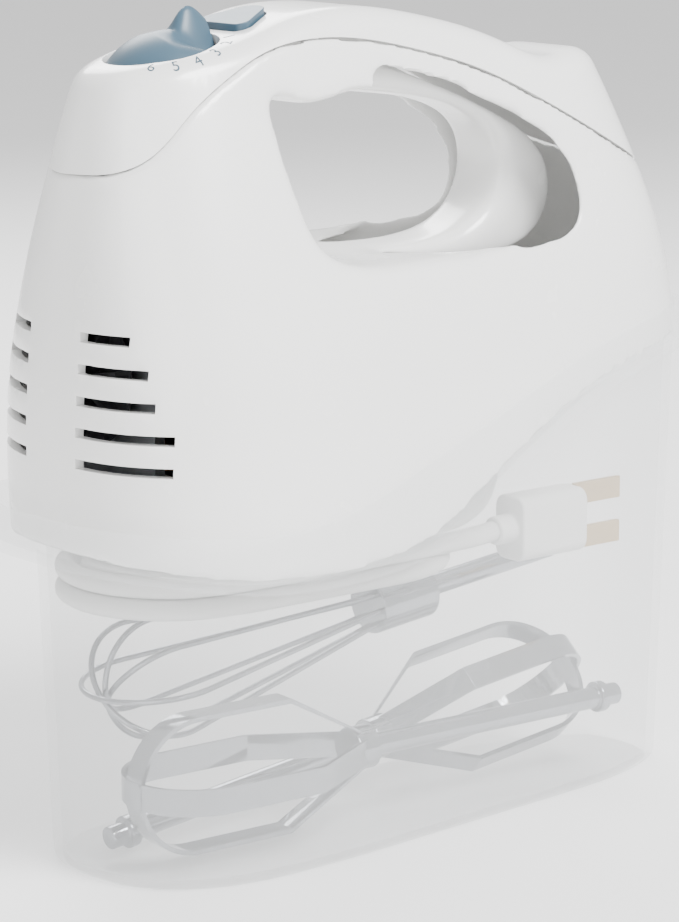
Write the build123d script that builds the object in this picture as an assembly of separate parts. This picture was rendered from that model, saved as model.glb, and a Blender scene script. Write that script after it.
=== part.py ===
from build123d import *
import math
import os

# Hand mixer standing on its storage case. Millimetres, +Z up, nose towards -X,
# origin in the middle of the case's floor, under the whole object.

# overall sizes
LENGTH = 216.0  # collar of the storage case, nose to heel
WIDTH = 100.0  # collar of the storage case, across the nose
HEIGHT = 222.0  # floor to the top of the dial's fin

# walls and gaps
CASE_WALL = 2.2
HOUSING_WALL = 2.6
COVER_WALL = 2.5  # plate that closes the housing's underside
SEAT_GAP = 0.5  # housing to collar, all round and under
SEAM_GAP = 0.4  # top cover to lower housing
FIT_GAP = 0.3  # pieces that sit inside one another without moving
RUN_GAP = 0.05  # shafts in bearings, radial
MOVE_GAP = 0.6  # moving pieces past fixed ones

# motor and gears
SHAFT_R = 2.5
MOTOR_Z = 131.0
MOTOR_START = 16.0  # station of the fan's front face
FAN_R = 17.5
FAN_T = 5.0
BRACKET_T = 3.0
BEARING_R = 8.0
CORE_R = 15.0
STATOR_L = 22.0
STATOR_W = 52.0
STATOR_H = 50.0
COIL_OUT = 6.0  # winding overhang at each end of the stator
COMM_R = 9.0
COMM_L = 9.0
WORM_R = 5.0  # pitch radius
WORM_TURNS = 4
GEAR_TEETH = 24
GEAR_R = 15.3  # pitch radius
GEAR_T = 7.0
ADDENDUM = 1.1
DEDENDUM = 1.5
SPINDLE_R = 6.5
SOCKET_R = 3.2
PIN_R = 2.7  # ejector pins inside the spindles

# controls
DIAL_S = 43.8  # station of the dial's axis
DIAL_R = 14.4
DIAL_TILT = 9.9
BUTTON_S = 68.0  # station of the burst button's middle
BUTTON_H = 9.5  # half width
BUTTON_TRAVEL = 2.5

# beaters and whisk
TOOL_R = 3.1
BEATER_R = 18.5
BEATER_CAGE = 72.0
BEATER_SHAFT = 88.0
BLADE_W = 7.0
BLADE_T = 1.3
WHISK_R = 20.5
WHISK_L = 98.0
WIRE_R = 0.8
WIRE_LOOPS = 4

# cord
CORD_R = 2.9
COIL_SIDE = 54.0  # straight stretch of the coil
COIL_OUTER = 31.0
COIL_BAND = 17.6
COIL_H = 11.8


def X(s):
    """Station along the object, 0 at the nose and 216 at the heel."""
    return (s / 216.0 - 0.5) * LENGTH


def Y(y):
    return y * WIDTH / 100.0


def Z(z):
    return z * HEIGHT / 222.0


# edges that rise from the nose to the heel: (station, height)
COLLAR_TOP = [(-10, 97.5), (20, 96.3), (56, 95.2), (74, 98.5), (100, 107), (127, 116), (154, 125.5),
              (178, 131), (200, 133.5), (230, 134.5)]
COLLAR_LOW = [(-10, 87), (8, 85), (40, 80.2), (75, 79.2), (100, 83), (120, 93.5), (146, 107.5),
              (163, 114.5), (186, 119.5), (230, 121)]
SEAM = [(-10, 179), (14, 181.5), (23.5, 185.5), (37, 197.5), (47, 204.4), (61, 211), (77, 213.6),
        (94, 212.5), (112, 208.8), (131, 203.3), (150, 195), (169, 185.6), (182, 179.5), (230, 168)]
RIDGE = [(4, 203), (14, 205.4), (27, 208), (42, 211.2), (56, 214.2), (66, 217.2), (75, 219.6),
         (85, 220.8), (100, 220.4), (118, 217.4), (137, 212.4), (148, 208.2), (156, 205.4), (163, 205),
         (171, 206.2), (178, 205.6), (184, 202.4), (191, 195), (199, 183), (212, 160), (224, 136)]
OPENING = [(61, 199.4), (61.6, 188), (64.2, 174), (68.5, 162.5), (80, 157.4), (104, 156.8),
           (128, 157.6), (142, 162.4), (149, 173), (147, 184), (137, 191), (119, 195.6), (100, 198),
           (86, 199.2), (76, 197.4), (68, 198.4)]
SECTIONS = [  # height, tip, heel, half width at the nose, half width near the heel
    (74, 9.0, 207, 46.0, 22), (86, 8.2, 209, 46.8, 23.5), (98, 7.6, 211, 47.0, 25),
    (112, 7.4, 212.5, 46.8, 26.5), (130, 8.0, 213, 45.3, 27), (148, 9.8, 210, 41.5, 26.5),
    (165, 12.0, 203.5, 36.2, 25), (182, 15.2, 195, 30.5, 23), (198, 19.0, 186, 25.2, 21),
    (212, 23.5, 177, 20.8, 19.5), (232, 31.0, 164, 17.5, 17.5)]
CASE_FOOT = (0, 15.0, 211, 35.2, 23.5)
CASE_RIM = (125, 10.5, 214.5, 38.5, 25.5)
COLLAR = (0, 0, 216, 50, 30)


def outline(section, inset=0.0, z=None):
    """Closed plan curve: a blunt round nose that tapers to a rounded heel."""
    height, tip, heel, half, heel_half = section
    tip, heel = X(tip) + inset, X(heel) - inset
    half, heel_half = Y(half) - inset, Y(heel_half) - inset
    level = Z(height) if z is None else z
    nose = 46.0 * LENGTH / 216.0
    middle = tip + nose
    run = heel - middle
    side = []
    for k in (1, 2, 3):
        turn = k * math.pi / 8
        side.append((middle - nose * math.cos(turn) ** 0.83, half * math.sin(turn) ** 0.83))
    side.append((middle, half))
    for part in (0.33, 0.66):
        side.append((middle + run * part, half + (heel_half - half) * part ** 1.25))
    side.append((heel - 0.10 * run, heel_half * 0.90))
    side.append((heel - 0.02 * run, heel_half * 0.55))
    ring = [(tip, 0)] + side + [(heel, 0)] + [(x, -y) for x, y in reversed(side)]
    return Wire([Spline(*[Vector(x, y, level) for x, y in ring], periodic=True)])


def plan_loft(sections, inset=0.0):
    return Solid.make_loft([outline(section, inset) for section in sections])


def side_prism(points, low, shift=0.0, closed=False):
    """Side-view curve pushed through the whole width, solid from the curve down to low."""
    reach = WIDTH
    row = [Vector(X(s), -reach, Z(z) + shift) for s, z in points]
    if closed:
        return Solid.extrude(Face(Wire([Spline(*row, periodic=True)])), Vector(0, 2 * reach, 0))
    curve = Spline(*row)
    a, b = curve @ 0, curve @ 1
    a_low, b_low = Vector(a.X, a.Y, low), Vector(b.X, b.Y, low)
    sides = [Line(b, b_low), Line(b_low, a_low), Line(a_low, a)]
    return Solid.extrude(Face(Wire([curve] + sides)), Vector(0, 2 * reach, 0))


def whole(shape):
    return max(shape.solids(), key=lambda solid: solid.volume)


def bar(r, length, x, y, z, along="Z"):
    """Round bar with one end's centre at x, y, z, along +X, +Y or +Z."""
    turn = {"Z": (0, 0, 0), "X": (0, 90, 0), "Y": (-90, 0, 0)}[along]
    return Pos(x, y, z) * Rot(*turn) * Solid.make_cylinder(r, length)


def block(x0, x1, y0, y1, z0, z1):
    return Pos(x0, y0, z0) * Solid.make_box(x1 - x0, y1 - y0, z1 - z0)


def save(node, shape):
    export_step(shape, "parts/" + node + ".step")


# ---------------------------------------------------------------- storage case
def storage_case():
    rim_top = side_prism(COLLAR_TOP, -10)
    rim_low = side_prism(COLLAR_LOW, -10)
    ledge_top = side_prism(COLLAR_LOW, -10, CASE_WALL)
    tub = whole(plan_loft([CASE_FOOT, CASE_RIM]) & ledge_top)
    tub = tub.fillet(2.5, [e for e in tub.edges() if e.center().Z < 0.1])
    collar = Solid.extrude(Face(outline(COLLAR, 0, Z(60))), Vector(0, 0, Z(90)))
    collar = whole((collar & rim_top) - rim_low)
    shell = whole(tub + collar)
    under_floor = block(-LENGTH, LENGTH, -WIDTH, WIDTH, -10, CASE_WALL)
    hollow = whole(plan_loft([CASE_FOOT, CASE_RIM], CASE_WALL) - under_floor)
    seat = Solid.extrude(Face(outline(COLLAR, CASE_WALL, Z(60))), Vector(0, 0, Z(90)))
    seat = whole(seat - ledge_top)
    return whole(shell - hollow - seat)


# ---------------------------------------------------------------- housing shells
def hull(inset, round_r):
    body = whole(plan_loft(SECTIONS, inset) & side_prism(RIDGE, 0, -inset))
    return whole(body.fillet(round_r, [e for e in body.edges() if e.center().Z > Z(185)]))


def grown(points, by):
    """Closed side-view ring moved outwards by a distance, for a wall round an opening."""
    ring = []
    count = len(points)
    for k, (s, z) in enumerate(points):
        before, after = points[k - 1], points[(k + 1) % count]
        run = Vector(after[0] - before[0], after[1] - before[1], 0).normalized()
        ring.append((s + by * run.Y, z - by * run.X))
    return ring


SCOOP = [(100, 203), (116, 198), (134, 191), (149, 184.5), (160, 177), (164, 168), (159, 159.5),
         (146, 155.5), (128, 156), (112, 160), (101, 173), (96, 190)]
SCOOP_FLOOR = 11.0  # half thickness of the web behind the opening
SCOOP_SPREAD = 9.0  # how far the recess widens from its floor to the flank, half of it each way


def scoop(grow, side):
    """Recess in one flank round the rear of the handle opening."""
    wires = []
    for spread, y in ((-SCOOP_SPREAD, Y(SCOOP_FLOOR)), (SCOOP_SPREAD, Y(SCOOP_FLOOR + 30))):
        row = grown(SCOOP, spread + grow)
        points = [Vector(X(s), side * (y - grow), Z(z)) for s, z in row]
        wires.append(Wire([Spline(*points, periodic=True)]))
    return Solid.make_loft(wires)


TOP_ROUND = 8.0
VENT_STEP = 7.93
VENT_LOW = 111.4
VENT_T = 2.0
VENT_IN = 10.4
VENT_OUT = (36, 36, 32, 30, 25)  # outer end of each slot, from the lowest up


def housing_blocks():
    """Outer shape with opening and recesses, and the cavity inside it."""
    opening = side_prism(OPENING, 0, closed=True)
    outer = whole(hull(0, TOP_ROUND) - opening)
    for side in (-1, 1):
        outer = whole(outer - scoop(0, side))
    cavity = hull(HOUSING_WALL, TOP_ROUND - HOUSING_WALL)
    cavity = whole(cavity - side_prism(grown(OPENING, HOUSING_WALL), 0, closed=True))
    for side in (-1, 1):
        cavity = whole(cavity - scoop(HOUSING_WALL, side))
    return outer, cavity


def station(x):
    """The station of a point along X."""
    return (x / LENGTH + 0.5) * 216.0


def vents():
    """Five slots each side of the nose, cut straight through from the front."""
    slots = []
    for k, reach in enumerate(VENT_OUT):
        z = Z(VENT_LOW + k * VENT_STEP)
        for side in (-1, 1):
            y0, y1 = sorted((side * Y(VENT_IN), side * Y(reach)))
            slots.append(block(X(-5), X(42), y0, y1, z - VENT_T / 2, z + VENT_T / 2))
    return slots


RIM_LIFT = CASE_WALL + SEAT_GAP  # the housing's rim over the collar's lower edge
COVER_LIFT = RIM_LIFT + 1.2  # the cover sits a little inside the rim
COVER_TOP = COVER_LIFT + COVER_WALL
SCREW_R = 1.5
SCREW_HEAD_R = 3.2
BOSS_R = 4.2
SCREWS = [(44, 39.5), (170, 26.0)]  # station and distance from the middle, both sides
BOSS_H = 16.0


def on_cover(shape):
    """Cuts a piece's foot to the curved inner face of the bottom cover."""
    return whole(shape - side_prism(COLLAR_LOW, -10, COVER_TOP))


def screw_places():
    for s, y in SCREWS:
        for side in (-1, 1):
            yield X(s), side * Y(y)


def cover_height(s):
    """Height of the bottom cover's inner face at a station, by the points either side."""
    for (s0, z0), (s1, z1) in zip(COLLAR_LOW, COLLAR_LOW[1:]):
        if s0 <= s <= s1:
            return Z(z0 + (z1 - z0) * (s - s0) / (s1 - s0)) + COVER_TOP
    return Z(COLLAR_LOW[-1][1]) + COVER_TOP


def make_housing():
    outer, cavity = housing_blocks()
    rim = side_prism(COLLAR_LOW, -10, RIM_LIFT)
    shell = whole(outer - rim - cavity)
    under_seam = side_prism(SEAM, -10, -SEAM_GAP / 2)
    over_seam = side_prism(SEAM, -10, SEAM_GAP / 2)
    lower = whole(whole(shell & under_seam) - vents())
    inside = plan_loft(SECTIONS, HOUSING_WALL / 2) - side_prism(COLLAR_LOW, -10, COVER_TOP + 0.05)
    inside = whole(inside & side_prism(COLLAR_LOW, -10, COVER_TOP + BOSS_H))
    bosses = []
    for x, y in screw_places():
        bosses.append(whole(inside & bar(BOSS_R, Z(150), x, y, 0)) - bar(SCREW_R, Z(150), x, y, 0))
    lower = whole(lower + bosses)
    top = whole(shell - over_seam)
    top = top - dial_hole() - button_plan(MOVE_GAP, Z(205), Z(226))
    save("lower_housing", lower)
    save("top_cover", whole(top))
    return cavity


def make_bottom_cover(cavity):
    plate = plan_loft(SECTIONS, HOUSING_WALL + FIT_GAP)
    plate = whole(plate & side_prism(COLLAR_LOW, -10, COVER_TOP))
    plate = whole(plate - side_prism(COLLAR_LOW, -10, COVER_LIFT))
    for y in (-SPINDLE_Y, SPINDLE_Y):
        sleeve = bar(SPINDLE_R + 3, COVER_SLEEVE, GEAR_X, y, SPINDLE_LOW + 1)
        plate = plate + whole(sleeve - side_prism(COLLAR_LOW, -10, COVER_LIFT))
        plate = plate - bar(SPINDLE_R + RUN_GAP, 2 * Z(100), GEAR_X, y, 0)
    for x, y in screw_places():
        plate = plate - bar(SCREW_R + 0.2, Z(200), x, y, 0)
        plate = plate - bar(SCREW_HEAD_R + FIT_GAP, screw_seat(x), x, y, 0)
    plate = plate - bar(RELIEF_R + FIT_GAP, Z(200), RELIEF_X, 0, 0)
    save("bottom_cover", whole(plate))


def screw_seat(x):
    """Height of the counterbore that a screw's head pulls against."""
    return cover_height(station(x)) - COVER_WALL + 0.9


def make_screws():
    screws = []
    for x, y in screw_places():
        seat = screw_seat(x)
        shank = bar(SCREW_R - 0.1, BOSS_H - 4, x, y, seat - 0.5)
        head = bar(SCREW_HEAD_R, 1.2, x, y, seat - 1.2)
        screws.append(whole(shank + head))
    save("housing_screws", Compound(children=screws))


# ---------------------------------------------------------------- motor and gears
PITCH = 2 * math.pi * GEAR_R / GEAR_TEETH
WORM_L = WORM_TURNS * PITCH
SPINDLE_Y = GEAR_R + WORM_R
FAN_X = X(MOTOR_START)
FRONT_X = FAN_X + FAN_T + 2
CORE_X = FRONT_X + BRACKET_T + 1 + COIL_OUT
COMM_X = CORE_X + STATOR_L + COIL_OUT + 2
REAR_X = COMM_X + COMM_L + 4
GEAR_X = REAR_X + BRACKET_T + GEAR_R + ADDENDUM + MOVE_GAP + 1.5
WORM_X = GEAR_X - WORM_L / 2
END_X = WORM_X + WORM_L + 1.5
END_T = 4.0
SHAFT_END = END_X + END_T + 1
MOTOR_MID = Z(MOTOR_Z)
SPINDLE_LOW = Z(84.0)
SPINDLE_TOP = MOTOR_MID + 13.0
COVER_SLEEVE = 16.0
BRIDGE_LOW = MOTOR_MID + 8.5
BRIDGE_T = 3.5
PLATE_LOW = MOTOR_MID + 19.0
PLATE_T = 2.5


def helix_thread():
    """One ridge of constant section wound on the worm."""
    core = WORM_R - DEDENDUM - 0.1
    path = Edge.make_helix(PITCH, WORM_L, core)
    points = [(core - 0.3, -0.85), (WORM_R + 1.0, -0.45), (WORM_R + 1.0, 0.45), (core - 0.3, 0.85)]
    row = [Vector(x, 0, z) for x, z in points]
    edges = [Line(a, b) for a, b in zip(row, row[1:] + row[:1])]
    return Solid.sweep(Face(Wire(edges)), path=path, is_frenet=True)


def make_armature():
    length = SHAFT_END - FAN_X + 3
    save("motor_shaft", bar(SHAFT_R, length, FAN_X - 3, 0, MOTOR_MID, "X"))
    core = bar(CORE_R, STATOR_L, CORE_X, 0, MOTOR_MID, "X")
    for k in range(12):
        turn = k * 30
        slot = block(CORE_X - 1, CORE_X + STATOR_L + 1, -1.2, 1.2, CORE_R - 6, CORE_R + 1)
        core = core - Pos(0, 0, MOTOR_MID) * Rot(turn, 0, 0) * slot
    save("armature_core", whole(core - bar(SHAFT_R, 99, CORE_X - 9, 0, MOTOR_MID, "X")))
    windings = []
    for x in (CORE_X - COIL_OUT + 1, CORE_X + STATOR_L):
        ring = bar(CORE_R - 2.5, COIL_OUT - 1, x, 0, MOTOR_MID, "X")
        windings.append(whole(ring - bar(SHAFT_R, 99, x - 9, 0, MOTOR_MID, "X")))
    save("armature_windings", Compound(children=windings))
    comm = bar(COMM_R, COMM_L, COMM_X, 0, MOTOR_MID, "X")
    for k in range(12):
        slot = block(COMM_X - 1, COMM_X + COMM_L - 2, -0.3, 0.3, COMM_R - 1, COMM_R + 1)
        comm = comm - Pos(0, 0, MOTOR_MID) * Rot(k * 30 + 15, 0, 0) * slot
    save("commutator", whole(comm - bar(SHAFT_R, 99, COMM_X - 9, 0, MOTOR_MID, "X")))
    worm = Solid.make_cylinder(WORM_R - DEDENDUM - 0.1, WORM_L) + helix_thread()
    worm = whole(whole(worm) & Solid.make_cylinder(WORM_R + 3, WORM_L)) - Solid.make_cylinder(SHAFT_R, 99)
    save("worm", Pos(WORM_X, 0, MOTOR_MID) * Rot(0, 90, 0) * whole(worm))


def make_fan():
    fan = bar(5, FAN_T, FAN_X, 0, MOTOR_MID, "X")
    back = bar(FAN_R, 1.0, FAN_X + FAN_T - 1, 0, MOTOR_MID, "X")
    blade = block(FAN_X, FAN_X + FAN_T - 0.5, -0.6, 0.6, 4, FAN_R)
    fan = whole(fan + [back] + [Pos(0, 0, MOTOR_MID) * Rot(k * 40, 0, 0) * blade for k in range(9)])
    save("cooling_fan", whole(fan - bar(SHAFT_R, 99, FAN_X - 9, 0, MOTOR_MID, "X")))


def make_stator():
    low, high = MOTOR_MID - STATOR_H / 2, MOTOR_MID + STATOR_H / 2
    core = block(CORE_X, CORE_X + STATOR_L, -STATOR_W / 2, STATOR_W / 2, low, high)
    core = core.fillet(6, core.edges().filter_by(Axis.X))
    core = core - bar(CORE_R + 0.6, 99, CORE_X - 9, 0, MOTOR_MID, "X")
    rings = []
    for side in (-1, 1):
        z0, z1 = sorted((MOTOR_MID + side * (CORE_R + 1), MOTOR_MID + side * (STATOR_H / 2 - 2.5)))
        outer = block(CORE_X - COIL_OUT, CORE_X + STATOR_L + COIL_OUT, -21, 21, z0, z1)
        outer = outer.fillet(5, outer.edges().filter_by(Axis.Z))
        inner = block(CORE_X - FIT_GAP, CORE_X + STATOR_L + FIT_GAP, -15, 15, z0 - 1, z1 + 1)
        rings.append(whole(outer - inner))
        core = core - rings[-1]
    save("stator_core", whole(core))
    save("field_coils", Compound(children=rings))


def make_brackets():
    front = on_cover(block(FRONT_X, FRONT_X + BRACKET_T, -24, 24, 0, MOTOR_MID + 20))
    front = front - bar(BEARING_R, 99, FRONT_X - 9, 0, MOTOR_MID, "X")
    save("front_bracket", whole(front))
    rear = on_cover(block(REAR_X, REAR_X + BRACKET_T, -30, 30, 0, MOTOR_MID + 13))
    rear = rear - bar(BEARING_R, 99, REAR_X - 9, 0, MOTOR_MID, "X")
    save("rear_bracket", whole(rear))
    for node, x in (("front_bearing", FRONT_X), ("rear_bearing", REAR_X)):
        bush = bar(BEARING_R, BRACKET_T, x, 0, MOTOR_MID, "X")
        save(node, whole(bush - bar(SHAFT_R + RUN_GAP, 99, x - 9, 0, MOTOR_MID, "X")))
    holders, carbons = [], []
    mid = COMM_X + COMM_L / 2 + 1
    for side in (-1, 1):
        y0, y1 = sorted((side * (COMM_R + 2), side * (COMM_R + 16)))
        holder = block(mid - 5, REAR_X, y0, y1, MOTOR_MID - 5, MOTOR_MID + 5)
        hole = block(mid - 3, mid + 3, y0 - 9, y1 + 9, MOTOR_MID - 3, MOTOR_MID + 3)
        holders.append(whole(holder - hole))
        y0, y1 = sorted((side * (COMM_R + RUN_GAP), side * (COMM_R + 13)))
        carbon = block(mid - 3, mid + 3, y0, y1, MOTOR_MID - 3, MOTOR_MID + 3)
        carbons.append(carbon)
    save("brush_holders", Compound(children=holders))
    save("carbon_brushes", Compound(children=carbons))


def make_gears():
    """Worm wheels pressed on hollow spindles; the worm runs between them."""
    for node, side in (("left", 1), ("right", -1)):
        y = side * SPINDLE_Y
        root = GEAR_R - DEDENDUM
        teeth = []
        first = -side * 90 - 90 / GEAR_TEETH
        for k in range(GEAR_TEETH):
            tip = GEAR_R + ADDENDUM
            row = [(root - 0.5, -0.95), (tip, -0.45), (tip, 0.45), (root - 0.5, 0.95)]
            points = [Vector(a, b, 0) for a, b in row]
            edges = [Line(a, b) for a, b in zip(points, points[1:] + points[:1])]
            tooth = Solid.extrude(Face(Wire(edges)), Vector(0, 0, GEAR_T))
            teeth.append(Rot(0, 0, first + 360 / GEAR_TEETH * k) * tooth)
        wheel = whole(Solid.make_cylinder(root, GEAR_T) + teeth)
        wheel = whole(wheel - Solid.make_cylinder(SPINDLE_R, GEAR_T))
        save("gear_" + node, Pos(GEAR_X, y, MOTOR_MID - GEAR_T / 2) * wheel)
        spindle = bar(SPINDLE_R, SPINDLE_TOP - SPINDLE_LOW, GEAR_X, y, SPINDLE_LOW)
        spindle = spindle - bar(SOCKET_R, Z(200), GEAR_X, y, 0)
        save("spindle_" + node, whole(spindle))


def make_bridge():
    x0, x1 = GEAR_X - 10, END_X + END_T
    plate = block(x0, x1, -SPINDLE_Y - 11, SPINDLE_Y + 11, BRIDGE_LOW, BRIDGE_LOW + BRIDGE_T)
    pillar = on_cover(block(END_X, END_X + END_T, -5, 5, 0, BRIDGE_LOW + 1))
    bridge = plate + pillar
    for y in (-SPINDLE_Y, SPINDLE_Y):
        bridge = bridge - bar(SPINDLE_R + RUN_GAP, 99, GEAR_X, y, MOTOR_MID + 5)
    bridge = bridge - bar(SHAFT_R + RUN_GAP, 99, END_X - 9, 0, MOTOR_MID, "X")
    save("gear_bridge", whole(bridge))


ARM_X = COMM_X - 6.5
ARM_IN, ARM_OUT = 23.0, 26.5
ARM_TOP = 180.0


def make_ejector():
    """Carriage that drops two pins down the spindles, with an arm up to the dial's cam."""
    top = PLATE_LOW + PLATE_T
    plate = block(GEAR_X - 8, GEAR_X + 8, -SPINDLE_Y - 7, SPINDLE_Y + 7, PLATE_LOW, top)
    for y in (-SPINDLE_Y, SPINDLE_Y):
        plate = plate + bar(PIN_R, PLATE_LOW - MOTOR_MID + 4, GEAR_X, y, MOTOR_MID - 3)
    link = block(ARM_X, GEAR_X, ARM_IN, ARM_OUT, PLATE_LOW, top)
    riser = block(ARM_X, ARM_X + 3, ARM_IN, ARM_OUT, PLATE_LOW, Z(ARM_TOP))
    pad = block(ARM_X - 8, ARM_X + 3, 4, ARM_OUT, Z(ARM_TOP) - 2, Z(ARM_TOP))
    save("ejector_carriage", whole(plate + link + riser + pad))
    low = BRIDGE_LOW + BRIDGE_T
    save("ejector_spring", spring(4.0, 0.5, PLATE_LOW - low, 3, GEAR_X, 0, low))


def spring(r, wire, length, turns, x, y, z):
    """Coil spring between two faces, its ends inside them by less than the wire's radius."""
    path = Edge.make_helix((length - 2 * wire) / turns, length - 2 * wire, r)
    start = path @ 0
    section = Face(Wire([Edge.make_circle(wire, Plane(origin=start, z_dir=path % 0))]))
    return Pos(x, y, z + wire) * Solid.sweep(section, path=path, is_frenet=True)


# ---------------------------------------------------------------- controls
DIAL_Z = 209.9  # surface height at the dial's axis
BUTTON_FRONT_R = 2.5
BUTTON_REAR_R = 6.0
BUTTON_L = 13.5


def dial_place():
    return Pos(X(DIAL_S), 0, Z(DIAL_Z)) * Rot(0, -DIAL_TILT, 0)


def dial_hole():
    return dial_place() * Pos(0, 0, -12) * Solid.make_cylinder(DIAL_R + MOVE_GAP, 40)


def make_dial():
    """Domed knob with an upright fin that points at its setting."""
    dome = Solid.make_sphere(19.0, angle1=-90, angle2=90)
    dome = Pos(0, 0, -12.6) * dome & Pos(0, 0, -3.5) * Solid.make_cylinder(DIAL_R, 30)
    dome = whole(dome)
    rise = [(-1, 5.4), (1.5, 6.5), (3.7, 8.0), (6.6, 9.8), (9.6, 10.6), (11.4, 9.7), (13.2, 7.4),
            (13.9, 4.6), (14.0, -1.0)]
    curve = Spline(*[Vector(x, 0, z) for x, z in rise])
    a, b = curve @ 0, curve @ 1
    foot = [Line(b, Vector(b.X, 0, -3)), Line(Vector(b.X, 0, -3), Vector(a.X, 0, -3)),
            Line(Vector(a.X, 0, -3), a)]
    fin = Solid.extrude(Face(Wire([curve] + foot)), Vector(0, 7, 0))
    fin = Pos(0, -3.5, 0) * fin
    fin = whole(fin & Pos(0, 0, -3.5) * Solid.make_cylinder(DIAL_R, 30))
    stem = Pos(0, 0, -16) * Solid.make_cylinder(3.0, 14)
    knob = whole(dome + fin + stem)
    save("speed_dial", dial_place() * knob)
    body = block(X(DIAL_S) - 10, X(DIAL_S) + 9, -9, 9, Z(184), Z(184) + 7)
    save("speed_switch", body)


def button_plan(grow, z0, z1):
    """Rounded triangle, its blunt side towards the dial."""
    x0 = X(BUTTON_S) - BUTTON_L / 2
    x1 = x0 + BUTTON_L
    y = Y(BUTTON_H) - BUTTON_FRONT_R
    ends = [(x0 + BUTTON_FRONT_R, y, BUTTON_FRONT_R), (x0 + BUTTON_FRONT_R, -y, BUTTON_FRONT_R),
            (x1 - BUTTON_REAR_R, 0, BUTTON_REAR_R)]
    rings = [Edge.make_circle(r + grow, Plane(origin=(x, c, z0))) for x, c, r in ends]
    return Solid.extrude(Face(Wire(make_hull(rings).edges())), Vector(0, 0, z1 - z0))


def make_button():
    cap = whole(button_plan(0, Z(212), Z(226)) & side_prism(RIDGE, 0, 1.6))
    x = X(BUTTON_S)
    stem = bar(2.0, Z(212) - BURST_TOP - BUTTON_TRAVEL - 0.2, x, 0, BURST_TOP + BUTTON_TRAVEL + 0.2)
    save("burst_button", whole(cap + stem))
    save("burst_switch", block(x - 5, x + 5, -5, 5, BURST_TOP - 3.0, BURST_TOP))
    save("burst_spring", spring(3.2, 0.4, Z(212) - BURST_TOP, 3, x, 0, BURST_TOP))


BURST_TOP = Z(205.8)

# ---------------------------------------------------------------- cord
RELIEF_R = 4.4
RELIEF_X = X(156)
RELIEF_LOW = Z(94.0)
COIL_X = X(75)
COIL_Z = 70.0
LEAD = [(156, 0, 94), (155.4, 0.8, 84.6), (151, 2.2, 77), (143.5, 3.2, 72.8), (134.5, 3.4, 72.2)]
TAIL = [(129.2, -17.5, 75.6), (141.0, -17.5, 76.4)]


def tube(points, r):
    """Round tube along straight runs joined by arcs as large as the runs allow."""
    row = [Vector(X(s), y, Z(z) if k == 0 else z) for k, (s, y, z) in enumerate(points)]
    runs = [(b - a).length for a, b in zip(row, row[1:])]
    if len(row) == 2:
        path = Wire([Line(row[0], row[1])])
    else:
        radii = []
        for k in range(1, len(row) - 1):
            turn = math.radians((row[k] - row[k - 1]).get_angle(row[k + 1] - row[k]))
            radii.append(0.45 * min(runs[k - 1], runs[k]) / math.tan(turn / 2))
        path = Wire(FilletPolyline(*row, radius=radii).edges())
    section = Face(Wire([Edge.make_circle(r, Plane(origin=path @ 0, z_dir=path % 0))]))
    solid = Solid.sweep(section, path=path)
    return solid


def make_cord():
    x, seat = RELIEF_X, cover_height(station(RELIEF_X))
    relief = bar(RELIEF_R, seat - RELIEF_LOW + 0.5, x, 0, RELIEF_LOW)
    for k in range(4):
        groove = bar(RELIEF_R + 1, 1.2, x, 0, RELIEF_LOW + 3 + 4 * k)
        groove = groove - bar(RELIEF_R - 1, 30, x, 0, RELIEF_LOW)
        relief = relief - groove
    flange = whole(bar(RELIEF_R + 2.5, 9, x, 0, seat - 2) - side_prism(COLLAR_LOW, -10, COVER_TOP))
    save("strain_relief", whole(relief + flange))
    save("power_cord", tube(LEAD, CORD_R))
    save("cord_tail", tube(TAIL, CORD_R))
    half = COIL_SIDE / 2
    ends = [(COIL_X - half, COIL_OUTER), (COIL_X + half, COIL_OUTER)]
    faces = []
    for cut in (0, COIL_BAND):
        rings = [Edge.make_circle(r - cut, Plane(origin=(cx, 0, COIL_Z))) for cx, r in ends]
        faces.append(Solid.extrude(Face(Wire(make_hull(rings).edges())), Vector(0, 0, COIL_H)))
    save("cord_coil", whole(faces[0] - faces[1]))
    s, y, z = TAIL[-1]
    px = X(s)
    nose = bar(4.0, 7, px, y, z, "X")
    body = block(px + 6, px + 30, y - 6, y + 6, z - 9, z + 9)
    body = body.fillet(3.5, body.edges().filter_by(Axis.X))
    blades = [block(px + 30, px + 47, y - 0.75, y + 0.75, z + d - 3, z + d + 3) for d in (-6.3, 6.3)]
    save("power_plug", whole(nose + body))
    save("plug_blades", Compound(children=blades))


# ---------------------------------------------------------------- beaters and whisk
def cage_ring(inset):
    """Side view of one blade loop: round end at the origin, open end drawn in to the collar."""
    r = BEATER_R - inset
    straight = BEATER_CAGE - 24
    tip = (inset, 0)
    end_r = 5.0 - inset * 0.6
    rows = [Vector(BEATER_R, -r, 0), Vector(straight, -r, 0), Vector(BEATER_CAGE, -end_r, 0),
            Vector(BEATER_CAGE, end_r, 0), Vector(straight, r, 0), Vector(BEATER_R, r, 0)]
    arc = ThreePointArc(rows[-1], Vector(tip[0], tip[1], 0), rows[0])
    return Face(Wire([arc] + [Line(a, b) for a, b in zip(rows, rows[1:])]))


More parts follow.
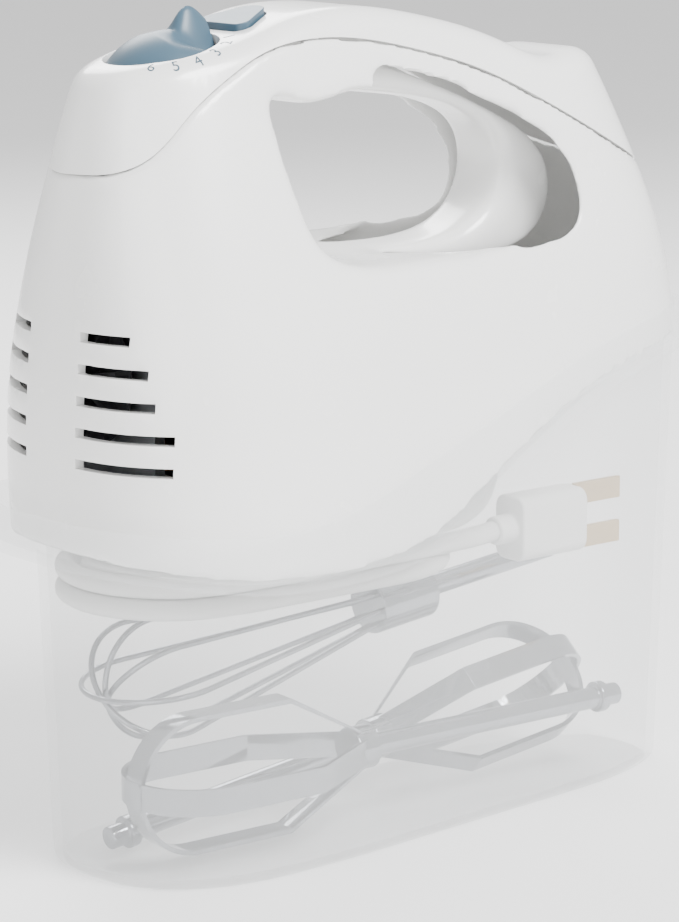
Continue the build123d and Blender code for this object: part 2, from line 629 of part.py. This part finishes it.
def beater(turn):
    """Blades and shaft with the cage's end at the origin and the shaft along +X."""
    loops = None
    for roll in (0, 90):
        outer = Solid.extrude(cage_ring(0), Vector(0, 0, BLADE_W))
        inner = Solid.extrude(cage_ring(BLADE_T), Vector(0, 0, BLADE_W))
        loop = Pos(0, 0, -BLADE_W / 2) * whole(outer - inner)
        loop = Rot(roll + turn, 0, 0) * loop
        loops = loop if loops is None else loops + loop
    loops = whole(loops)
    collar = bar(6.0, 7, BEATER_CAGE - 3, 0, 0, "X")
    shaft = bar(TOOL_R, BEATER_SHAFT + 2, BEATER_CAGE + 2, 0, 0, "X")
    tabs = bar(TOOL_R + 1.3, 3, BEATER_CAGE + BEATER_SHAFT - 4, 0, 0, "X")
    blades = whole(loops - bar(6.0, 9, BEATER_CAGE - 3, 0, 0, "X"))
    return blades, whole(collar + shaft + tabs)


def make_beaters():
    down = math.degrees(math.atan2(15.0, 126.0))
    out = math.degrees(math.atan2(5.4, 125.0))
    place_a = Pos(X(190), 4.5, 25.8) * Rot(0, 0, 180) * Rot(0, down, 0)
    place_b = Pos(X(24.5), -10.4, 22.3) * Rot(0, 0, -out)
    for name, place, turn in (("a", place_a, 45), ("b", place_b, 0)):
        blades, shaft = beater(turn)
        save("beater_%s_blades" % name, place * blades)
        save("beater_%s_shaft" % name, place * shaft)


WHISK_HUB_L = 20.0
WHISK_HUB_R = 8.0
WHISK_SHAFT = 48.0


def wire_loop(r, end_r, length):
    """One closed-nose loop of wire in the XY plane, pole at the origin, open end at the hub."""
    reach = length - r
    gap = math.hypot(reach, end_r)
    lean = math.asin(r / gap) - math.atan2(end_r, reach)
    back = math.pi / 2 - lean
    tx, ty = r + r * math.cos(back), r * math.sin(back)
    end = Vector(length, end_r, 0)
    arc = ThreePointArc(Vector(tx, ty, 0), Vector(0, 0, 0), Vector(tx, -ty, 0))
    path = Wire([Line(end, Vector(tx, ty, 0)), arc, Line(Vector(tx, -ty, 0), Vector(length, -end_r, 0))])
    section = Face(Wire([Edge.make_circle(WIRE_R, Plane(origin=end, z_dir=path % 0))]))
    return Solid.sweep(section, path=path)


def make_whisk():
    rise = math.degrees(math.atan2(7.0, 66.0))
    place = Pos(X(29), 12.5, 42.6) * Rot(0, -rise, 0)
    wires = None
    for k in range(WIRE_LOOPS):
        step = 2.2 * WIRE_R * k
        loop = Pos(step, 0, 0) * wire_loop(WHISK_R - WIRE_R - step, 5.0, WHISK_L - step)
        loop = Rot(180 / WIRE_LOOPS * k, 0, 0) * loop
        wires = [loop] if wires is None else wires + [loop]
    wires = [whole(w - bar(WHISK_HUB_R, 30, WHISK_L - 5, 0, 0, "X")) for w in wires]
    save("whisk_wires", place * Compound(children=wires))
    hub = bar(WHISK_HUB_R, WHISK_HUB_L, WHISK_L - 5, 0, 0, "X")
    save("whisk_hub", place * whole(hub - bar(TOOL_R, 30, WHISK_L + 5, 0, 0, "X")))
    shaft = bar(TOOL_R, WHISK_SHAFT + 10, WHISK_L + 5, 0, 0, "X")
    save("whisk_shaft", place * shaft)


def main():
    os.makedirs("parts", exist_ok=True)
    save("storage_case", storage_case())
    cavity = make_housing()
    make_bottom_cover(cavity)
    make_screws()
    make_armature()
    make_fan()
    make_stator()
    make_brackets()
    make_gears()
    make_bridge()
    make_ejector()
    make_dial()
    make_button()
    make_cord()
    make_beaters()
    make_whisk()


if __name__ == "__main__":
    main()
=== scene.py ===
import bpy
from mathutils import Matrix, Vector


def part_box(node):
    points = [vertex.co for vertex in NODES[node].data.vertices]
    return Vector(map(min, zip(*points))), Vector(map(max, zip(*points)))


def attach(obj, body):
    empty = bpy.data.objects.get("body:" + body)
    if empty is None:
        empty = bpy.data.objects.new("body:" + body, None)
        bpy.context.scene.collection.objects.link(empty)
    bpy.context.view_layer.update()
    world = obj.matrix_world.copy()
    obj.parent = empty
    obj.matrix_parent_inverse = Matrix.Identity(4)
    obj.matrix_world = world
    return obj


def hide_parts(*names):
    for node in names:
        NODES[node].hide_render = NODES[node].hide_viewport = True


bl_info = {
    "name": "Hand Mixer on a Storage Case",
    "version": (1, 0, 0),
    "blender": (4, 5, 0),
    "location": "View3D > Sidebar > Mixer",
    "description": "Finishes a hand mixer that is snapped onto its frosted storage case",
    "category": "Object",
}

import math

import bmesh
import bpy
from bpy.props import FloatProperty, FloatVectorProperty, IntProperty, PointerProperty
from mathutils import Matrix, Vector
from mathutils.bvhtree import BVHTree

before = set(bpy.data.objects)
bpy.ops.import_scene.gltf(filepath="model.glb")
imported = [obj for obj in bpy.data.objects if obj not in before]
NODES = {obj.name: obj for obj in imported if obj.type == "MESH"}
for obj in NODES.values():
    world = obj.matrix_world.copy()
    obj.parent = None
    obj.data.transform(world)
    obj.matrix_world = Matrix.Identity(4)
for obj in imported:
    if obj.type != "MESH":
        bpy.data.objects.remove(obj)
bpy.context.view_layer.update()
MM = 0.001

# the dial's axis leans with the top of the housing
DIAL_ORIGIN = Vector((-64.2, 0.0, 209.9)) * MM
DIAL_TILT = math.radians(-9.9)

# cord: the lead to the coil and the tail to the plug
LEAD = [(48, 0, 94), (47.4, 0.8, 84.6), (43.5, 3.2, 77), (36.5, 8.2, 73.2), (27.5, 16.2, 72.6), (16.5, 23.6, 72.8),
        (4.5, 27.6, 72.9)]
TAIL = [(8, -26.2, 78.2), (17, -21.2, 76.8), (25, -18.4, 76.0), (33, -17.5, 76.4)]
COIL_CENTRE = -33.0
COIL_HALF = 27.0
COLUMNS = (28.1, 22.3, 16.5)
LAYERS = (72.9, 78.7)


# air slots in the nose
VENT_LOW = 111.4
VENT_STEP = 7.93
VENT_HEIGHT = 2.5
VENT_INNER = 10.4
VENT_REACH = (36, 36, 32, 30, 25)


# ---------------------------------------------------------------- sizes and colours
class MixerSizes(bpy.types.PropertyGroup):
    housing_edge: FloatProperty(name="Housing edge", description="Radius along the housing's edges",
                                default=0.0009, unit="LENGTH")
    housing_grain: FloatProperty(name="Housing faces", description="Size of the faces of the housing's skin",
                                 default=0.0013, unit="LENGTH")
    grip_softness: IntProperty(name="Grip softness", description="How far the edges of the grip are rounded",
                               default=40)
    case_edge: FloatProperty(name="Case edge", description="Radius along the case's edges", default=0.0006,
                             unit="LENGTH")
    cord_diameter: FloatProperty(name="Cord", description="Diameter of the mains cord", default=0.0056,
                                 unit="LENGTH")
    cord_length: FloatProperty(name="Cord length", description="Real length of the mains cord", default=1.50,
                               unit="LENGTH")
    dial_radius: FloatProperty(name="Dial", description="Radius of the speed dial", default=0.0144,
                               unit="LENGTH")
    numeral_height: FloatProperty(name="Numerals", description="Height of the speed numbers", default=0.0032,
                                  unit="LENGTH")
    speeds: IntProperty(name="Speeds", description="Number of speeds marked round the dial", default=6)
    floor_size: FloatProperty(name="Floor", description="Side of the floor", default=6.0, unit="LENGTH")


class MixerColours(bpy.types.PropertyGroup):
    housing: FloatVectorProperty(name="Housing", description="Glossy white of the shells", subtype="COLOR",
                                 size=3, default=(0.83, 0.83, 0.82))
    case: FloatVectorProperty(name="Case", description="Frosted plastic of the case", subtype="COLOR",
                              size=3, default=(0.86, 0.875, 0.88))
    controls: FloatVectorProperty(name="Controls", description="Blue grey of the dial and button",
                                  subtype="COLOR", size=3, default=(0.045, 0.09, 0.13))
    cord: FloatVectorProperty(name="Cord", description="White of the cord and plug", subtype="COLOR", size=3,
                              default=(0.72, 0.72, 0.71))
    chrome: FloatVectorProperty(name="Chrome", description="Plating of the tools", subtype="COLOR", size=3,
                                default=(0.30, 0.31, 0.33))
    floor: FloatVectorProperty(name="Floor", description="Pale floor", subtype="COLOR", size=3,
                               default=(0.90, 0.90, 0.90))


def sizes():
    return bpy.context.scene.mixer_sizes


def colours():
    return bpy.context.scene.mixer_colours


# ---------------------------------------------------------------- finishes
def finish(name):
    """A new material with its shader and a source of Object coordinates."""
    made = bpy.data.materials.new(name)
    made.use_nodes = True
    tree = made.node_tree
    shader = tree.nodes["Principled BSDF"]
    place = tree.nodes.new("ShaderNodeTexCoord")
    return made, tree, shader, place.outputs["Object"]


def speckle(tree, place, scale, detail=3.0):
    noise = tree.nodes.new("ShaderNodeTexNoise")
    noise.inputs["Scale"].default_value = scale
    noise.inputs["Detail"].default_value = detail
    tree.links.new(place, noise.inputs["Vector"])
    return noise.outputs["Fac"]


def between(tree, value, low, high):
    span = tree.nodes.new("ShaderNodeMapRange")
    span.inputs["To Min"].default_value = low
    span.inputs["To Max"].default_value = high
    tree.links.new(value, span.inputs["Value"])
    return span.outputs["Result"]


def tint(tree, value, dark, light):
    ramp = tree.nodes.new("ShaderNodeValToRGB")
    ramp.color_ramp.elements[0].position = 0.3
    ramp.color_ramp.elements[1].position = 0.7
    ramp.color_ramp.elements[0].color = (*dark, 1)
    ramp.color_ramp.elements[1].color = (*light, 1)
    tree.links.new(value, ramp.inputs["Fac"])
    return ramp.outputs["Color"]


def relief(tree, shader, height, depth, strength=1.0):
    bump = tree.nodes.new("ShaderNodeBump")
    bump.inputs["Strength"].default_value = strength
    bump.inputs["Distance"].default_value = depth
    tree.links.new(height, bump.inputs["Height"])
    tree.links.new(bump.outputs["Normal"], shader.inputs["Normal"])


def shade(colour, k):
    return tuple(min(1.0, c * k) for c in colour)


def moulded(name, colour, low, high, coat=0.0, grain=2600.0, depth=0.000012):
    """Moulded plastic: faint colour drift, moulding ripple and a fine grain."""
    made, tree, shader, place = finish(name)
    drift = speckle(tree, place, 14.0)
    tree.links.new(tint(tree, drift, shade(colour, 0.985), shade(colour, 1.01)), shader.inputs["Base Color"])
    tree.links.new(between(tree, speckle(tree, place, 60.0), low, high), shader.inputs["Roughness"])
    relief(tree, shader, speckle(tree, place, grain, 2.0), depth, 0.35)
    if coat:
        shader.inputs["Coat Weight"].default_value = coat
        shader.inputs["Coat Roughness"].default_value = 0.12
    return made


def frosted(name, colour):
    """Thin translucent plastic, slightly hazy, with a soft sheen."""
    made, tree, shader, place = finish(name)
    haze = speckle(tree, place, 30.0)
    tree.links.new(tint(tree, haze, shade(colour, 0.985), colour), shader.inputs["Base Color"])
    tree.links.new(between(tree, haze, 0.24, 0.34), shader.inputs["Roughness"])
    tree.links.new(between(tree, speckle(tree, place, 9.0), 0.13, 0.18), shader.inputs["Alpha"])
    relief(tree, shader, speckle(tree, place, 900.0, 2.0), 0.00002, 0.3)
    return made


def metal(name, colour, low, high, stretch=(1, 1, 1), scale=400.0):
    """Plated or turned metal, with a fine lay of marks along one direction."""
    made, tree, shader, place = finish(name)
    lay = tree.nodes.new("ShaderNodeMapping")
    lay.inputs["Scale"].default_value = stretch
    tree.links.new(place, lay.inputs["Vector"])
    marks = speckle(tree, lay.outputs["Vector"], scale)
    shader.inputs["Metallic"].default_value = 1.0
    tree.links.new(tint(tree, marks, shade(colour, 0.93), colour), shader.inputs["Base Color"])
    tree.links.new(between(tree, marks, low, high), shader.inputs["Roughness"])
    relief(tree, shader, marks, 0.00001, 0.25)
    return made


def banded(name, colour, pitch, axis, metallic, roughness, depth):
    """Metal sheets or wire laid side by side, as on a laminated core or a winding."""
    made, tree, shader, place = finish(name)
    wave = tree.nodes.new("ShaderNodeTexWave")
    wave.bands_direction = axis
    wave.inputs["Scale"].default_value = 0.314 / pitch
    wave.inputs["Distortion"].default_value = 0.4
    tree.links.new(place, wave.inputs["Vector"])
    shader.inputs["Metallic"].default_value = metallic
    tree.links.new(tint(tree, wave.outputs["Fac"], shade(colour, 0.6), colour), shader.inputs["Base Color"])
    tree.links.new(between(tree, speckle(tree, place, 300.0), roughness, roughness + 0.1),
                   shader.inputs["Roughness"])
    relief(tree, shader, wave.outputs["Fac"], depth)
    return made


def make_finishes():
    """Every finish of the mixer, by name."""
    tone = colours()
    white = tuple(tone.housing)
    return {
        "housing white": moulded("housing white", white, 0.22, 0.30, 0.5),
        "frosted case": frosted("frosted case", tuple(tone.case)),
        "control blue": moulded("control blue", tuple(tone.controls), 0.34, 0.44, 0.0, 1800.0, 0.00002),
        "cord white": moulded("cord white", tuple(tone.cord), 0.42, 0.52, 0.0, 1500.0, 0.00003),
        "marking grey": moulded("marking grey", shade(tuple(tone.controls), 0.8), 0.5, 0.6),
        "tool chrome": metal("tool chrome", tuple(tone.chrome), 0.06, 0.14, (1, 6, 6), 120.0),
        "turned steel": metal("turned steel", (0.58, 0.59, 0.60), 0.25, 0.38, (8, 1, 1), 300.0),
        "zinc plate": metal("zinc plate", (0.62, 0.64, 0.66), 0.35, 0.5, (1, 1, 1), 90.0),
        "sintered bronze": metal("sintered bronze", (0.60, 0.43, 0.22), 0.4, 0.55, (1, 1, 1), 1800.0),
        "laminated core": banded("laminated core", (0.42, 0.43, 0.45), 0.0006, "X", 1.0, 0.38, 0.00005),
        "copper winding": banded("copper winding", (0.63, 0.29, 0.13), 0.0007, "Y", 1.0, 0.3, 0.0001),
        "gear nylon": moulded("gear nylon", (0.78, 0.75, 0.66), 0.4, 0.5),
        "black plastic": moulded("black plastic", (0.03, 0.03, 0.033), 0.4, 0.55),
        "carbon": moulded("carbon", (0.02, 0.02, 0.02), 0.6, 0.75, 0.0, 1200.0, 0.00004),
    }


WEARS = {
    "housing white": ("lower_housing", "top_cover", "bottom_cover"),
    "frosted case": ("storage_case",),
    "control blue": ("speed_dial", "burst_button"),
    "cord white": ("strain_relief", "power_cord", "cord_coil", "cord_tail", "power_plug"),
    "tool chrome": ("beater_a_blades", "beater_a_shaft", "beater_b_blades", "beater_b_shaft", "whisk_wires",
                    "whisk_hub", "whisk_shaft"),
    "turned steel": ("motor_shaft", "worm", "housing_screws", "ejector_spring", "burst_spring"),
    "zinc plate": ("front_bracket", "rear_bracket"),
    "sintered bronze": ("front_bearing", "rear_bearing", "brush_holders", "plug_blades", "commutator"),
    "laminated core": ("armature_core", "stator_core"),
    "copper winding": ("armature_windings", "field_coils"),
    "gear nylon": ("gear_left", "gear_right", "spindle_left", "spindle_right", "gear_bridge"),
    "black plastic": ("cooling_fan", "ejector_carriage", "speed_switch", "burst_switch"),
    "carbon": ("carbon_brushes",),
}


def wear(piece, name):
    piece.data.materials.clear()
    piece.data.materials.append(bpy.data.materials[name])


# ---------------------------------------------------------------- making pieces
def piece_from(name, mesh_data):
    piece = bpy.data.objects.new(name, mesh_data)
    bpy.context.scene.collection.objects.link(piece)
    return piece


def piece_of(name, work):
    """A new object that holds a finished bmesh."""
    data = bpy.data.meshes.new(name)
    work.to_mesh(data)
    work.free()
    return piece_from(name, data)


def smooth(piece, degrees):
    piece.data.shade_smooth()
    piece.data.set_sharp_from_angle(angle=math.radians(degrees))


def softened(node, body, name, edge, look, degrees=28):
    """A copy of a CAD node with its edges rounded, which stands for that node."""
    work = bmesh.new()
    work.from_mesh(NODES[node].data)
    bmesh.ops.remove_doubles(work, verts=work.verts, dist=0.000004)
    bmesh.ops.dissolve_limit(work, angle_limit=math.radians(0.6), verts=work.verts, edges=work.edges)
    piece = piece_of(name, work)
    smooth(piece, degrees)
    round_off = piece.modifiers.new("edges", "BEVEL")
    round_off.width = edge
    round_off.segments = 3
    round_off.limit_method = "ANGLE"
    round_off.angle_limit = math.radians(degrees)
    round_off.harden_normals = True
    wear(piece, look)
    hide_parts(node)
    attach(piece, body)
    return piece


def cast(node, voxel):
    """A CAD node's shape as one even skin of small faces, ready to be worked by hand."""
    work = bmesh.new()
    work.from_mesh(NODES[node].data)
    bmesh.ops.remove_doubles(work, verts=work.verts, dist=0.000004)
    source = piece_of(node + "_source", work)
    even = source.modifiers.new("even", "REMESH")
    even.mode = "VOXEL"
    even.voxel_size = voxel
    graph = bpy.context.evaluated_depsgraph_get()
    graph.update()
    data = bpy.data.meshes.new_from_object(source.evaluated_get(graph))
    bpy.data.objects.remove(source)
    work = bmesh.new()
    work.from_mesh(data)
    bpy.data.meshes.remove(data)
    return work


def surface_of(node):
    work = bmesh.new()
    work.from_mesh(NODES[node].data)
    tree = BVHTree.FromBMesh(work)
    work.free()
    return tree


def vent_slots():
    """Blocks the size of the nose's air slots, five on each side."""
    work = bmesh.new()
    for k, reach in enumerate(VENT_REACH):
        for side in (-1, 1):
            middle = Vector((-90, side * (VENT_INNER + reach) / 2, VENT_LOW + k * VENT_STEP)) * MM
            size = Vector((60, reach - VENT_INNER, VENT_HEIGHT)) * MM
            place = Matrix.Translation(middle) @ Matrix.Diagonal((*size, 1))
            bmesh.ops.create_cube(work, size=1, matrix=place)
    return piece_of("slots", work)


def cut(piece, cutter):
    """piece with cutter's shape taken out of it. The cutter goes."""
    away = piece.modifiers.new("cut", "BOOLEAN")
    away.operation = "DIFFERENCE"
    away.solver = "EXACT"
    away.object = cutter
    graph = bpy.context.evaluated_depsgraph_get()
    graph.update()
    data = bpy.data.meshes.new_from_object(piece.evaluated_get(graph))
    name = piece.name
    bpy.data.objects.remove(piece)
    bpy.data.objects.remove(cutter)
    return piece_from(name, data)


def stands_for(piece, node, body, look):
    wear(piece, look)
    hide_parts(node)
    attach(piece, body)


# ---------------------------------------------------------------- stage
def lamp(name, size, power, place, aim):
    data = bpy.data.lights.new(name, "AREA")
    data.shape = "DISK"
    data.size = size
    data.energy = power
    light = piece_from(name, data)
    light.location = place
    light.rotation_euler = (Vector(aim) - Vector(place)).to_track_quat("-Z", "Y").to_euler()


class MIXER_OT_stage(bpy.types.Operator):
    """Set the camera, the soft lights and the pale floor"""
    bl_idname = "mixer.stage"
    bl_label = "Stage"

    def execute(self, context):
        az, el, far = math.radians(-39.01), math.radians(11.72), 0.89984
        target = Vector((-0.00674, 0.0, 0.09833))
        back = Vector((math.sin(az) * math.cos(el), -math.cos(az) * math.cos(el), math.sin(el)))
        data = bpy.data.cameras.new("view")
        data.lens = 130.8
        data.sensor_width = 36.0
        camera = piece_from("view", data)
        camera.location = target + back * far
        camera.rotation_euler = (-back).to_track_quat("-Z", "Y").to_euler()
        context.scene.camera = camera

        half = sizes().floor_size / 2
        work = bmesh.new()
        bmesh.ops.create_grid(work, x_segments=8, y_segments=8, size=half)
        floor = piece_of("floor", work)
        made, tree, shader, place = finish("pale floor")
        pale = tuple(colours().floor)
        tree.links.new(tint(tree, speckle(tree, place, 3.0), shade(pale, 0.99), pale), shader.inputs["Base Color"])
        shader.inputs["Roughness"].default_value = 0.7
        wear(floor, "pale floor")

        world = bpy.data.worlds.new("studio")
        world.use_nodes = True
        world.node_tree.nodes["Background"].inputs["Color"].default_value = (1.0, 1.0, 1.0, 1.0)
        world.node_tree.nodes["Background"].inputs["Strength"].default_value = 1.1
        context.scene.world = world
        lamp("key", 0.6, 38.0, (0.15, -0.85, 1.1), target)
        lamp("fill", 1.2, 9.0, (-1.2, -0.8, 0.5), target)
        lamp("rim", 0.8, 16.0, (0.4, 0.9, 0.9), target)
        return {"FINISHED"}


# ---------------------------------------------------------------- cord
def coil_turns():
    """Points of the oblong coil: in along the lower layer, up at the middle, and out along the upper layer."""
    steps = 8
    rows = [(LAYERS[0], r) for r in COLUMNS] + [(LAYERS[1], r) for r in reversed(COLUMNS)]
    points = []
    for turn, (z, r) in enumerate(rows):
        loose = (2 - COLUMNS.index(r)) * 1.4
        nose, heel = COIL_CENTRE - COIL_HALF - loose, COIL_CENTRE + COIL_HALF
        for part in (0.15, 0.4, 0.65, 0.9):
            points.append((heel + (nose - heel) * part, r, z))
        for k in range(1, steps):
            a = math.pi * k / steps
            points.append((nose - r * math.sin(a), r * math.cos(a), z))
        for part in (0.1, 0.35, 0.6, 0.85):
            points.append((nose + (heel - nose) * part, -r, z))
        if turn == len(rows) - 1:
            break
        z_next, r_next = rows[turn + 1]
        rise = z_next - z
        for k in range(0, steps + 1):
            part = k / steps
            ease = part * part * (3 - 2 * part)
            a = math.pi * part
            tuck = 3.6 * math.sin(a) if rise else 0.0
            reach = r + (r_next - r) * ease - tuck
            points.append((heel + reach * math.sin(a), -reach * math.cos(a), z + rise * ease))
    return points


class MIXER_OT_cord(bpy.types.Operator):
    """Lay the mains cord: the lead, the turns of its coil and the tail to the plug"""
    bl_idname = "mixer.cord"
    bl_label = "Cord"

    def execute(self, context):
        route = LEAD + coil_turns() + TAIL
        data = bpy.data.curves.new("mains_cord", "CURVE")
        data.dimensions = "3D"
        spline = data.splines.new("NURBS")
        spline.points.add(len(route) - 1)
        for point, (x, y, z) in zip(spline.points, route):
            point.co = (x * MM, y * MM, z * MM, 1.0)
        spline.order_u = 3
        spline.use_endpoint_u = True
        spline.resolution_u = 6
        data.bevel_depth = sizes().cord_diameter / 2
        data.bevel_resolution = 5
        data.use_fill_caps = True
        cord = piece_from("mains_cord", data)
        wear(cord, "cord white")
        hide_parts("power_cord", "cord_coil", "cord_tail")
        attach(cord, "mixer")
        return {"FINISHED"}


class MIXER_OT_relief(bpy.types.Operator):
    """Turn the ribbed, tapered sleeve where the cord leaves the housing"""
    bl_idname = "mixer.relief"
    bl_label = "Strain relief"

    def execute(self, context):
        low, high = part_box("strain_relief")
        x, y = (low.x + high.x) / 2, (low.y + high.y) / 2
        foot, head = 0.0943, high.z
        work = bmesh.new()
        ribs = 6
        outline = [(0.00305, foot)]
        for k in range(ribs + 1):
            z = foot + (head - foot - 0.008) * k / ribs
            r = 0.0036 + 0.0011 * k / ribs
            outline += [(r, z), (r, z + 0.0016), (r - 0.0006, z + 0.0019), (r - 0.0006, z + 0.0025)]
        outline += [(0.0068, outline[-1][1] + 0.0006), (0.0068, head)]
        verts = [work.verts.new((x + r, y, z)) for r, z in outline]
        edges = [work.edges.new(pair) for pair in zip(verts, verts[1:])]
        bmesh.ops.spin(work, geom=verts + edges, cent=(x, y, 0), axis=(0, 0, 1), angle=math.tau, steps=40,
                       use_merge=True)
        bmesh.ops.holes_fill(work, edges=[e for e in work.edges if e.is_boundary], sides=0)
        bmesh.ops.recalc_face_normals(work, faces=work.faces)
        sleeve = piece_of("cord_sleeve", work)
        smooth(sleeve, 50)
        wear(sleeve, "cord white")
        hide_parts("strain_relief")
        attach(sleeve, "mixer")
        return {"FINISHED"}


class MIXER_OT_plug(bpy.types.Operator):
    """Round the moulded plug"""
    bl_idname = "mixer.plug"
    bl_label = "Plug"

    def execute(self, context):
        softened("power_plug", "mixer", "moulded_plug", 0.0008, "cord white")
        return {"FINISHED"}


# ---------------------------------------------------------------- shells
class MIXER_OT_shells(bpy.types.Operator):
    """Round the edges of the housing, its top cover and the storage case"""
    bl_idname = "mixer.shells"
    bl_label = "Shells"

    def execute(self, context):
        edge = sizes().housing_edge
        work = cast("lower_housing", sizes().housing_grain)
        cover = surface_of("top_cover")
        bmesh.ops.smooth_vert(work, verts=work.verts, factor=0.5, use_axis_x=True, use_axis_y=True, use_axis_z=True)
        grip = [v for v in work.verts if -0.062 < v.co.x < 0.062 and v.co.z > 0.142
                and cover.find_nearest(v.co, 0.006)[0] is None]
        for _ in range(sizes().grip_softness):
            bmesh.ops.smooth_vert(work, verts=grip, factor=0.5, use_axis_x=True, use_axis_y=True, use_axis_z=True)
        shell = cut(piece_of("housing_shell", work), vent_slots())
        smooth(shell, 45)
        stands_for(shell, "lower_housing", "mixer", "housing white")
        softened("top_cover", "mixer", "top_shell", edge * 0.5, "housing white")
        softened("storage_case", "case", "case_tub", sizes().case_edge, "frosted case")
        return {"FINISHED"}


# ---------------------------------------------------------------- controls
def crest(u):
    """Height of the dial's fin over the dial's plane, along its length."""
    if u < -1.0:
        return 0.0
    hump = 10.6 * math.exp(-((u - 9.6) / 7.2) ** 2)
    return hump


class MIXER_OT_dial(bpy.types.Operator):
    """Shape the speed dial: a dome with a pointed fin and a scoop on each flank"""
    bl_idname = "mixer.dial"
    bl_label = "Speed dial"

    def execute(self, context):
        rim = sizes().dial_radius / MM
        work = bmesh.new()
        rows = 26
        reach = [rim * k / rows for k in range(rows + 1)]
        line = [work.verts.new((r, 0, 0)) for r in reach]
        line.append(work.verts.new((rim, 0, -1.2)))
        line.append(work.verts.new((rim, 0, -3.2)))
        line.append(work.verts.new((0, 0, -3.2)))
        chain = [work.edges.new(pair) for pair in zip(line, line[1:])]
        bmesh.ops.spin(work, geom=line + chain, cent=(0, 0, 0), axis=(0, 0, 1), angle=math.tau, steps=96,
                       use_merge=True)
        bmesh.ops.remove_doubles(work, verts=work.verts, dist=0.001)
        for vert in work.verts:
            if vert.co.z < -0.5:
                continue
            u, v = vert.co.x, vert.co.y
            r = math.hypot(u, v)
            dome = math.sqrt(19.0 ** 2 - r * r) - 12.6
            ahead = min(1.0, max(0.0, (u + 3.0) / 9.0))
            scoop = 3.0 * ahead * math.exp(-((abs(v) - 7.0) / 4.0) ** 2)
            base = dome - scoop
            fin = max(base, crest(u))
            vert.co.z = max(-0.4, base + (fin - base) * math.exp(-(v / 3.0) ** 2))
        bmesh.ops.recalc_face_normals(work, faces=work.faces)
        turn = Matrix.Translation(DIAL_ORIGIN) @ Matrix.Rotation(DIAL_TILT, 4, "Y") @ Matrix.Scale(MM, 4)
        bmesh.ops.transform(work, matrix=turn, verts=work.verts)
        dial = piece_of("dial_knob", work)
        smooth(dial, 40)
        wear(dial, "control blue")
        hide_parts("speed_dial")
        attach(dial, "dial")
        softened("burst_button", "burst", "burst_key", 0.0006, "control blue")
        return {"FINISHED"}


class MIXER_OT_numerals(bpy.types.Operator):
    """Print the speed numbers round the dial"""
    bl_idname = "mixer.numerals"
    bl_label = "Numerals"

    def execute(self, context):
        skin = surface_of("top_cover")
        lean = Matrix.Translation(DIAL_ORIGIN) @ Matrix.Rotation(DIAL_TILT, 4, "Y")
        down = (lean.to_3x3() @ Vector((0, 0, -1))).normalized()
        for number in range(sizes().speeds + 1):
            angle = 0.0 if number == 0 else -math.radians(15 + 20 * number)
            text = bpy.data.curves.new("numeral", "FONT")
            text.body = str(number)
            text.size = sizes().numeral_height * 1.35
            text.align_x = "CENTER"
            text.align_y = "CENTER"
            text.resolution_u = 3
            source = piece_from("numeral", text)
            bpy.context.view_layer.update()
            data = bpy.data.meshes.new_from_object(source)
            bpy.data.objects.remove(source)
            work = bmesh.new()
            work.from_mesh(data)
            bmesh.ops.triangulate(work, faces=work.faces)
            bmesh.ops.subdivide_edges(work, edges=work.edges, cuts=1)
            radius = sizes().dial_radius + 0.0032
            spot = lean @ Matrix.Rotation(angle, 4, "Z") @ Matrix.Translation((radius, 0, 0.02))
            spot = spot @ Matrix.Rotation(math.pi / 2, 4, "Z")
            bmesh.ops.transform(work, matrix=spot, verts=work.verts)
            landed = True
            for vert in work.verts:
                hit = skin.ray_cast(vert.co, down)
                if hit[0] is None:
                    landed = False
                    break
                vert.co = hit[0] - down * 0.00006
            if not landed:
                work.free()
                continue
            mark = piece_of("numeral_%d" % number, work)
            wear(mark, "marking grey")
            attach(mark, "mixer")
        return {"FINISHED"}


# ---------------------------------------------------------------- tools
class MIXER_OT_tools(bpy.types.Operator):
    """Round the edges of the beaters and the whisk"""
    bl_idname = "mixer.tools"
    bl_label = "Beaters and whisk"

    def execute(self, context):
        for letter in "ab":
            body = "beater_" + letter
            softened(body + "_blades", body, body + "_cage", 0.0003, "tool chrome")
            softened(body + "_shaft", body, body + "_stem", 0.0005, "tool chrome")
        softened("whisk_hub", "whisk", "whisk_collar", 0.0008, "tool chrome")
        return {"FINISHED"}


class MIXER_OT_finishes(bpy.types.Operator):
    """Give every part its finish"""
    bl_idname = "mixer.finishes"
    bl_label = "Finishes"

    def execute(self, context):
        make_finishes()
        for name, nodes in WEARS.items():
            for node in nodes:
                wear(NODES[node], name)
        return {"FINISHED"}


ORDER = ("stage", "finishes", "plug", "cord", "relief", "shells", "dial", "numerals", "tools")


class MIXER_PT_panel(bpy.types.Panel):
    """Buttons for each group of pieces"""
    bl_idname = "MIXER_PT_panel"
    bl_label = "Hand Mixer"
    bl_space_type = "VIEW_3D"
    bl_region_type = "UI"
    bl_category = "Mixer"

    def draw(self, context):
        for name in ORDER:
            self.layout.operator("mixer." + name)


CLASSES = (MixerSizes, MixerColours, MIXER_OT_stage, MIXER_OT_finishes, MIXER_OT_plug, MIXER_OT_cord,
           MIXER_OT_relief, MIXER_OT_shells, MIXER_OT_dial, MIXER_OT_numerals, MIXER_OT_tools, MIXER_PT_panel)


def register():
    for cls in CLASSES:
        bpy.utils.register_class(cls)
    bpy.types.Scene.mixer_sizes = PointerProperty(type=MixerSizes)
    bpy.types.Scene.mixer_colours = PointerProperty(type=MixerColours)


def unregister():
    del bpy.types.Scene.mixer_colours
    del bpy.types.Scene.mixer_sizes
    for cls in reversed(CLASSES):
        bpy.utils.unregister_class(cls)


def main():
    register()
    for name in ORDER:
        getattr(bpy.ops.mixer, name)()


if __name__ == "__main__":
    main()
